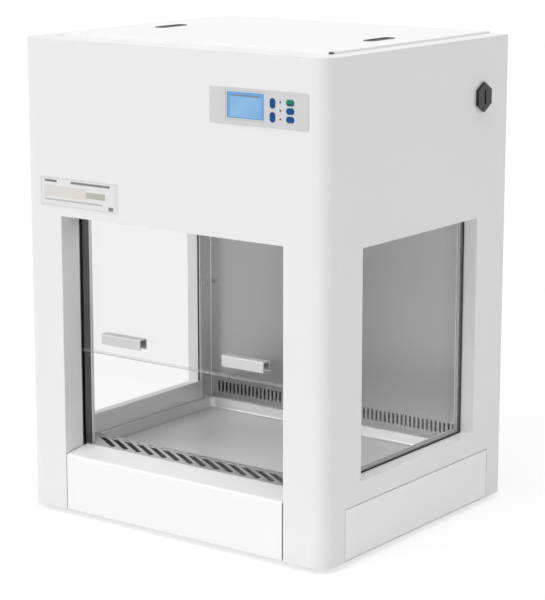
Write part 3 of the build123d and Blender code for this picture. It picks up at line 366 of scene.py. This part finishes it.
# The side walls get a much paler, less metallic copy of the stainless: painted light.
side_walls = finish("wall_steel_upright_painted_light", brushed_steel(UPRIGHT, 0.84, 0.90, 0.32, 0.5))
dress(side_walls, "liner_left", "liner_right")
# Back wall and baffle: darker default stainless as painted shade, sideways faces painted pale as
# painted light.
dress(finish("wall_steel_level_painted_shade_and_light", brushed_steel(ACROSS, side_painted_light=0.9)), "liner_back", "plenum_front")

# Work tray -------------------------------------------------------------------------------
# The work surface is one pressed stainless tray with a sunk bed. It rests on angle ledges
# on the side walls and lifts out for cleaning. Its bed is brushed front to back.

BED_LEVEL = 0.97  # how far up a face of the bed looks
WALL_GREY = 0.74


def tray_steel_painted_light(wire):
    """Brushed bed, painted pale and less metallic where it faces up, as painted light from above, and
    greyer, more metallic walls.
    """
    # A much paler copy of the stainless, and up-facing faces made less metallic: painted light.
    sockets = brushed_steel(INWARDS, 0.88, 0.92, 0.38)(wire)
    level = facing(wire, "Z") > BED_LEVEL
    return {
        **sockets,
        "Base Color": wire.mix(level, grey(WALL_GREY), sockets["Base Color"]),
        "Metallic": 0.7 - 0.5 * level,
    }


dress(finish("tray_steel_painted_light", tray_steel_painted_light), "work_tray")
dress(zinc, "tray_supports")

# Intake grille ---------------------------------------------------------------------------
# A punched stainless strip with slanted slots lies between the sill and the tray, on the
# same ledges.

dress(finish("grille_steel", brushed_steel(ACROSS, 0.48, 0.56, 0.30, 0.7)), "front_grille")

# Side windows ----------------------------------------------------------------------------
# Each side has a pane of clear float glass in a black rubber frame, clamped between the
# lining and the casing's inward fold. The frame's part behind the pane is painted pale, as painted
# light.


def pane(face, ground_edge=0.0):
    """Recipe of a clear pane whose two big faces look along one axis, with a ground foot."""

    def recipe(wire):
        edge = wire.maths("ABSOLUTE", facing(wire, face)) < 0.6
        smear = noise(wire, where(wire)[0], 9.0)
        slant = wire.node("LayerWeight", {"Blend": 0.5}, out="Facing")
        gloss = 0.04 + 0.96 * wire.maths("POWER", slant, 5.0)
        band = where(wire)[3] < ground_edge
        veil = gloss + 0.01 * smear + 0.16 * band
        ground = wire.maths("MAXIMUM", edge, band)
        return {
            "Base Color": wire.mix(ground, (0.385, 0.395, 0.39, 1.0), (0.50, 0.52, 0.515, 1.0)),
            "Metallic": 1 - ground,
            "Roughness": 0.02,
            "Alpha": veil + edge * 0.5,
        }

    return recipe


dress(finish("side_pane_glass", pane("X")), "side_glass_left", "side_glass_right")

LIP_ROOT = 0.0005  # behind the outer face of the pane


def glazing(wire):
    """Black rubber lip in front of the pane, and its part behind the pane painted pale as painted
    light.
    """
    place, x, _, _ = where(wire)
    # The black rubber behind the pane is painted pale grey: painted light.
    behind = wire.maths("ABSOLUTE", x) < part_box("side_glass_right")[1].x - LIP_ROOT
    bloom = noise(wire, place, 45.0)
    black = wire.mix(bloom, grey(0.014), grey(0.030))
    return {"Base Color": wire.mix(behind, black, grey(0.80)), "Roughness": 0.70 + 0.15 * bloom}


dress(finish("window_rubber_painted_light", glazing), "side_gaskets")

# Sash ------------------------------------------------------------------------------------
# The front pane slides up and down in two extruded tracks and stops on rubber blocks. Two
# short channel extrusions screwed to it are the finger pulls. A rubber lip on the baffle
# closes the gap behind it.


def extrusion(level, stretch, metallic=1.0, rough=0.32):
    """Recipe of anodised aluminium with fine die lines."""

    def recipe(wire):
        place = where(wire)[0]
        drawn = wire.node("Mapping", {"Vector": place, "Scale": stretch})
        lines = noise(wire, drawn, 1.0, 2.0)
        return {
            "Base Color": wire.mix(lines, grey(level * 0.93), grey(level)),
            "Metallic": metallic,
            "Roughness": rough + 0.10 * lines,
            "Normal": bump(wire, lines, 0.08, 0.00005),
        }

    return recipe


SASH_GROUND = 0.004  # height of the ground band at the foot
PULL_WALL = 0.0021
sash_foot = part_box("sash_glass")[0].z
dress(finish("sash_pane_glass", pane("Y", sash_foot + SASH_GROUND)), "sash_glass")


def span(value, low, high):
    """One between two limits."""
    return (value > low) * (value < high)


def pull(wire):
    """Satin anodised channel whose hollow, towards the pane, is painted darker: painted shade."""
    low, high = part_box("sash_handle_left")
    _, _, y, z = where(wire)
    # Inside of the channel painted dark grey: painted shade.
    hollow = (y > low.y + PULL_WALL) * span(z, low.z + PULL_WALL, high.z - PULL_WALL)
    sockets = extrusion(0.66, ACROSS, 0.35, 0.38)(wire)
    return {**sockets, "Base Color": wire.mix(hollow, sockets["Base Color"], grey(0.30))}


dress(finish("pull_aluminium_painted_shade", pull), "sash_handle_left", "sash_handle_right")
track_finish = finish("track_aluminium", extrusion(0.20, UPRIGHT))
dress(track_finish, "sash_track_left", "sash_track_right")
dress(finish("stop_rubber", rubber(0.018)), "sash_stops", "sash_wiper")

# Keypad ----------------------------------------------------------------------------------
# A pale moulded fascia on the casing frames a blue liquid-crystal display, two upright
# rocker keys, three oval keys and their lamps. The board with the switches is behind.

FASCIA = (0.70, 0.70, 0.705)
SCREEN_MID = (0.13, 0.36, 0.72, 1.0)
SCREEN_PALE = (0.24, 0.50, 0.80, 1.0)
SCREEN_BAR = (0.20, 0.22, 0.27, 1.0)
SCREEN_SHADE = (0.10, 0.13, 0.20, 1.0)
SCREEN_RIM = (0.62, 0.66, 0.70, 1.0)
WINDOW_W = 0.080
WINDOW_LAP = 0.0035  # of the fascia over the display
RIM_W = 0.0022
KEY_SPLIT = 0.004  # of the power key, above its foot
BAR_DROP = 0.0062
BAR_H = 0.0022
BAR_IN = 0.011
FIELD_IN = 0.0075
FIELD_DROP = 0.009


def screen(wire):
    """A lit display: pale rim, blue field, a paler window in it and a grey bar near its top."""
    _, x, _, z = where(wire)
    low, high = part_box("display_module")
    rim = (high.x - low.x - WINDOW_W) / 2 + WINDOW_LAP
    left, right = low.x + rim, high.x - rim
    foot, head = low.z + rim, high.z - rim
    glass = span(x, left + RIM_W, right - RIM_W)
    glass = glass * span(z, foot + RIM_W, head - RIM_W)
    field = span(x, left + FIELD_IN, right - FIELD_IN)
    field = field * span(z, foot + FIELD_IN / 2, head - FIELD_DROP)
    bar_top = head - BAR_DROP
    bar = span(x, left + BAR_IN, right - BAR_IN) * span(z, bar_top - BAR_H, bar_top)
    sweep = (x - left) / (right - left) * 0.6 + (head - z) / (head - foot) * 0.4
    blue = wire.mix(wire.maths("ABSOLUTE", sweep - 0.45) * 1.3, SCREEN_PALE, SCREEN_MID)
    blue = wire.mix(field, SCREEN_MID, blue)
    blue = wire.mix(bar, blue, SCREEN_BAR)
    shade = wire.maths("MAXIMUM", x < left + RIM_W * 1.5, z < foot + RIM_W * 1.3)
    blue = wire.mix(shade * 0.8, blue, SCREEN_SHADE)
    return {
        "Base Color": wire.mix(glass, SCREEN_RIM, blue),
        "Roughness": 0.16 + 0.2 * (1 - glass),
        "Coat Weight": 0.4,
        "Coat Roughness": 0.08,
    }


def key_cap(colour, head=None):
    """Recipe of a glossy key whose faces that turn away from the front are paler, and whose head may
    differ.
    """

    def recipe(wire):
        place = where(wire)[0]
        cloud = noise(wire, place, 160.0)
        slope = 1 - wire.maths("ABSOLUTE", facing(wire, "Y"))
        paler = tuple(min(1.0, part * 1.8 + 0.05) for part in colour) + (1.0,)
        deep = tuple(part * 0.8 for part in colour) + (1.0,)
        body = wire.mix(cloud, deep, (*colour, 1.0))
        if head:
            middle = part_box("key_power")[0].z + KEY_SPLIT
            body = wire.mix(where(wire)[3] > middle, body, head)
        return {
            "Base Color": wire.mix(slope * 0.5, body, paler),
            "Roughness": 0.35 + 0.1 * cloud,
            "Specular IOR Level": 0.2,
        }

    return recipe


def solder_mask(wire):
    """Green lacquer over copper tracks."""
    place = where(wire)[0]
    tracks = wire.node("TexBrick", {"Vector": place, "Scale": 260.0}, out="Fac")
    return {
        "Base Color": wire.mix(tracks, (0.015, 0.14, 0.06, 1.0), (0.03, 0.24, 0.11, 1.0)),
        "Roughness": 0.35 + 0.1 * tracks,
    }


dress(finish("fascia_plastic", moulded(FASCIA, 0.42)), "control_overlay")
dress(finish("display_window", screen), "display_module")
blue_key = finish("key_blue", key_cap((0.001, 0.085, 0.27)))
dress(blue_key, "key_up", "key_down", "key_light", "key_uv")
two_tone_key = finish("key_teal", key_cap((0.001, 0.085, 0.20), (0.01, 0.21, 0.13, 1.0)))
dress(two_tone_key, "key_power")
dress(finish("lamp_lens", moulded((0.10, 0.06, 0.06), 0.2)), "indicator_lamps")
dress(finish("board_green", solder_mask), "control_board")

# Rating plate ----------------------------------------------------------------------------
# A thin plate is glued above the access opening. It carries only plain fields of colour
# where such a plate has its print.

PLATE_X = -0.263
PLATE_W = 0.1635
PLATE_LOW = 0.511
PLATE_H = 0.049
PLATE_T = 0.0006
PLATE_CORNER = 0.002
PLATE_CHAMFER = 0.0002
QUARTER_STEPS = 4
BORDER_OUT = 0.0022  # from the plate's edge to the printed border
BORDER_IN = 0.00308
PLATE_FIELDS = [  # left, right, top and bottom as shares of the plate, and colour
    (0.06, 0.22, 0.11, 0.19, grey(0.10)),
    (0.40, 0.90, 0.11, 0.19, grey(0.12)),
    (0.06, 0.60, 0.30, 0.66, (0.73, 0.70, 0.67, 1.0)),
    (0.60, 0.84, 0.40, 0.60, (0.42, 0.42, 0.37, 1.0)),
    (0.06, 0.80, 0.74, 0.79, grey(0.42)),
    (0.88, 0.94, 0.80, 0.92, grey(0.10)),
]


def plate_mesh(name, x, z, wide, high, front, back, corner):
    """An upright plate with rounded corners and a small chamfer round its front face."""
    build = bmesh.new()
    rings = []
    for y, inset in ((back, 0.0), (front + PLATE_CHAMFER, 0.0), (front, PLATE_CHAMFER)):
        ring = []
        for quarter, (cx, cz) in enumerate(((1, 1), (-1, 1), (-1, -1), (1, -1))):
            for step in range(QUARTER_STEPS + 1):
                angle = math.radians(90 * (quarter + step / QUARTER_STEPS))
                reach = corner - inset
                px = x + wide / 2 + cx * (wide / 2 - corner) + reach * math.cos(angle)
                pz = z + high / 2 + cz * (high / 2 - corner) + reach * math.sin(angle)
                ring.append(build.verts.new((px, y, pz)))
        rings.append(ring)
    for lower, upper in zip(rings, rings[1:]):
        for here in range(len(lower)):
            after = (here + 1) % len(lower)
            build.faces.new((lower[here], lower[after], upper[after], upper[here]))
    build.faces.new(rings[-1])
    build.faces.new(rings[0])
    bmesh.ops.recalc_face_normals(build, faces=build.faces)
    mesh = bpy.data.meshes.new(name)
    build.to_mesh(mesh)
    build.free()
    piece = bpy.data.objects.new(name, mesh)
    bpy.context.scene.collection.objects.link(piece)
    return piece


def plate_print(wire):
    """White plate with plain fields of colour and a fine border."""
    place, x, _, z = where(wire)
    outer, inner = [
        span(x, PLATE_X + edge, PLATE_X + PLATE_W - edge)
        * span(z, PLATE_LOW + edge, PLATE_LOW + PLATE_H - edge)
        for edge in (BORDER_OUT, BORDER_IN)
    ]
    across = (x - PLATE_X) / PLATE_W
    drop = (PLATE_LOW + PLATE_H - z) / PLATE_H
    faded = noise(wire, place, 60.0, 2.0)
    colour = wire.mix((outer - inner) * 0.4, grey(0.80), grey(0.30))
    for left, right, top, bottom, ink in PLATE_FIELDS:
        field = span(across, left, right) * span(drop, top, bottom)
        colour = wire.mix(field * (0.7 + 0.3 * faded), colour, ink)
    return {"Base Color": colour, "Roughness": 0.34 + 0.1 * faded}


wall_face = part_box("outer_shell")[0].y
rating_plate = plate_mesh(
    "rating_plate", PLATE_X, PLATE_LOW, PLATE_W, PLATE_H, wall_face - PLATE_T, wall_face, PLATE_CORNER
)
rating_plate.data.materials.append(finish("rating_plate_print", plate_print))
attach(rating_plate, "cabinet")

# Side port -------------------------------------------------------------------------------
# A hexagonal plastic plug closes the service port. It is screwed through the casing against
# a pale washer, with a nut inside.

port_plastic = finish("port_plastic", moulded((0.007, 0.007, 0.008), 0.30))
dress(port_plastic, "side_port_plug", "side_port_nut")
dress(finish("port_washer_nylon", moulded((0.78, 0.78, 0.77), 0.45)), "side_port_washer")

# Filter ----------------------------------------------------------------------------------
# The pleated filter pack sits in an aluminium frame on a foam ring, on a welded seat. A
# white slotted screen below it spreads the air.


def pleated_paper(wire):
    """White glass-fibre paper."""
    place = where(wire)[0]
    fibre = noise(wire, place, 700.0)
    return {
        "Base Color": wire.mix(fibre, (0.78, 0.78, 0.75, 1.0), (0.88, 0.88, 0.86, 1.0)),
        "Roughness": 0.85 + 0.1 * fibre,
        "Normal": bump(wire, fibre, 0.4, 0.0001),
    }


dress(zinc, "filter_seat")
dress(finish("screen_powder_coat", powder_coat(0.82)), "diffuser_screen")
dress(finish("filter_foam", rubber(0.10, 0.85)), "hepa_gasket")
dress(finish("filter_frame_aluminium", extrusion(0.74, ACROSS)), "hepa_frame")
dress(finish("filter_paper", pleated_paper), "hepa_media")

# Blower ----------------------------------------------------------------------------------
# A backward-curved wheel turns round its own motor under a zinc-plated deck. It draws air
# through a spun bell mouth, and crossed straps hang the motor from the deck.


def coated_steel(wire):
    """Black electrocoat."""
    place = where(wire)[0]
    cloud = noise(wire, place, 25.0)
    return {"Base Color": wire.mix(cloud, grey(0.03), grey(0.05)), "Roughness": 0.35 + 0.15 * cloud}


def cast_alloy(wire):
    """Sand-rough cast aluminium."""
    place = where(wire)[0]
    sand = noise(wire, place, 500.0)
    return {
        "Base Color": wire.mix(sand, grey(0.46), grey(0.58)),
        "Metallic": 1.0,
        "Roughness": 0.45 + 0.15 * sand,
        "Normal": bump(wire, sand, 0.4, 0.0001),
    }


dress(zinc, "fan_deck", "fan_inlet_ring", "fan_bracket")
dress(finish("wheel_coated_steel", coated_steel), "fan_impeller")
dress(finish("motor_cast_alloy", cast_alloy), "fan_stator")

# Lamps -----------------------------------------------------------------------------------
# A white lamp strip lights the work from behind the head of the opening. A clear
# germicidal tube in two holders lies along the back.

LAMP_GLOW = 5.5
TUBE_CLEAR = 0.130  # half the clear length between the caps


def quartz(wire):
    """Clear tube with metal end caps."""
    normal = wire.node("NewGeometry", out="Normal")
    cap = wire.maths("ABSOLUTE", where(wire)[1]) > TUBE_CLEAR
    haze = noise(wire, normal, 3.0)
    return {
        "Base Color": wire.mix(cap, (0.86, 0.90, 0.92, 1.0), grey(0.62)),
        "Metallic": cap,
        "Roughness": 0.08 + 0.2 * haze,
        "Alpha": 0.45 + 0.55 * cap,
    }


def lit_strip(wire):
    """White plastic whose underside is the lit cover of the lamp."""
    cloud = noise(wire, where(wire)[0], 60.0)
    return {
        "Base Color": wire.mix(cloud, grey(0.80), grey(0.86)),
        "Roughness": 0.35 + 0.1 * cloud,
        "Emission Color": wire.mix(facing(wire, "Z") < -0.5, grey(0.0), (1.0, 0.98, 0.95, 1.0)),
        "Emission Strength": LAMP_GLOW,
    }


dress(finish("lamp_lit_strip", lit_strip), "work_light")
dress(finish("lamp_white_plastic", moulded((0.84, 0.84, 0.83), 0.40)), "lamp_holders")
dress(finish("tube_quartz", quartz), "uv_lamp")

# Services --------------------------------------------------------------------------------
# Room air enters through slots in the back panel and a coarse foam pad. The mains inlet is
# beside them, and the supply box stands on the fan's deck.


def open_foam(wire):
    """Dark open-celled foam."""
    place = where(wire)[0]
    cells = wire.node("TexVoronoi", {"Vector": place, "Scale": 420.0}, out="Distance")
    return {
        "Base Color": wire.mix(cells * 1.6, grey(0.03), grey(0.14)),
        "Roughness": 0.85 + 0.1 * cells,
        "Normal": bump(wire, cells, 0.8, 0.0008),
    }


dress(finish("filter_pad_foam", open_foam), "prefilter")
dress(finish("inlet_plastic", moulded((0.022, 0.022, 0.024), 0.36)), "power_inlet")
dress(zinc, "power_supply")

# Screws ----------------------------------------------------------------------------------
# Low-headed stainless screws hold the lining's wings, the back panel, the feet and the
# finger pulls.

screw_steel = finish("screw_steel", extrusion(0.66, (200.0, 200.0, 200.0), 1.0, 0.22))
dress(screw_steel, "casing_screws", "handle_screws")
